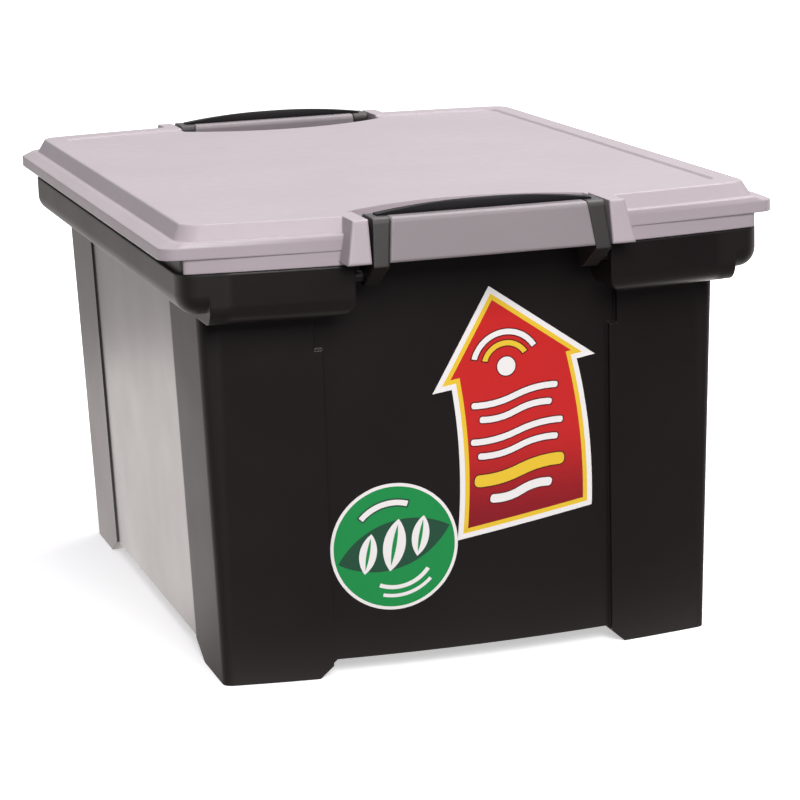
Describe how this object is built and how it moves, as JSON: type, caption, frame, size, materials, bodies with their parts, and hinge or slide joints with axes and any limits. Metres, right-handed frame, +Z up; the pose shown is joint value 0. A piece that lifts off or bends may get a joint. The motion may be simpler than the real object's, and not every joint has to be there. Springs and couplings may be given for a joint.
{
  "type": "portable file box",
  "caption": "Portable file box with flared rim, corner feet, hanging-file rails, lift-off lid and swing handles at both ends.",
  "frame": {"origin": "on the floor plane, under the middle of the four feet", "axes": "+Z up, -Y to the labelled front end, Y along the longer side, X across the handles"},
  "size_m": [0.358, 0.4914, 0.276],
  "materials": {
    "tub_plastic": "fine satin grain, black",
    "lid_plastic": "satin, light silver grey",
    "frame_plastic": "satin, black",
    "cover_plastic": "satin, silver grey",
    "grip_rubber": "soft matt, black",
    "arrow_label_film": null,
    "round_label_film": null
  },
  "bodies": {
    "box": {"tub": "tub_plastic", "arrow_label": "arrow_label_film", "round_label": "round_label_film"},
    "lid": {"lid": "lid_plastic"},
    "front_handle": {"front_handle_frame": "frame_plastic", "front_handle_cover": "cover_plastic", "front_handle_grip": "grip_rubber"},
    "back_handle": {"back_handle_frame": "frame_plastic", "back_handle_cover": "cover_plastic", "back_handle_grip": "grip_rubber"}
  },
  "joints": [
    {"name": "lid_lift", "type": "slide", "parent": "box", "child": "lid", "axis": [0, 0, 1], "range_m": [0, 0.3]},
    {"name": "front_handle_swing", "type": "hinge", "parent": "box", "child": "front_handle", "pos_m": [0, -0.22135, 0.2365], "axis": [1, 0, 0], "range_deg": [0, 160]},
    {"name": "back_handle_swing", "type": "hinge", "parent": "box", "child": "back_handle", "pos_m": [0, 0.22135, 0.2365], "axis": [-1, 0, 0], "range_deg": [0, 160]}
  ]
}
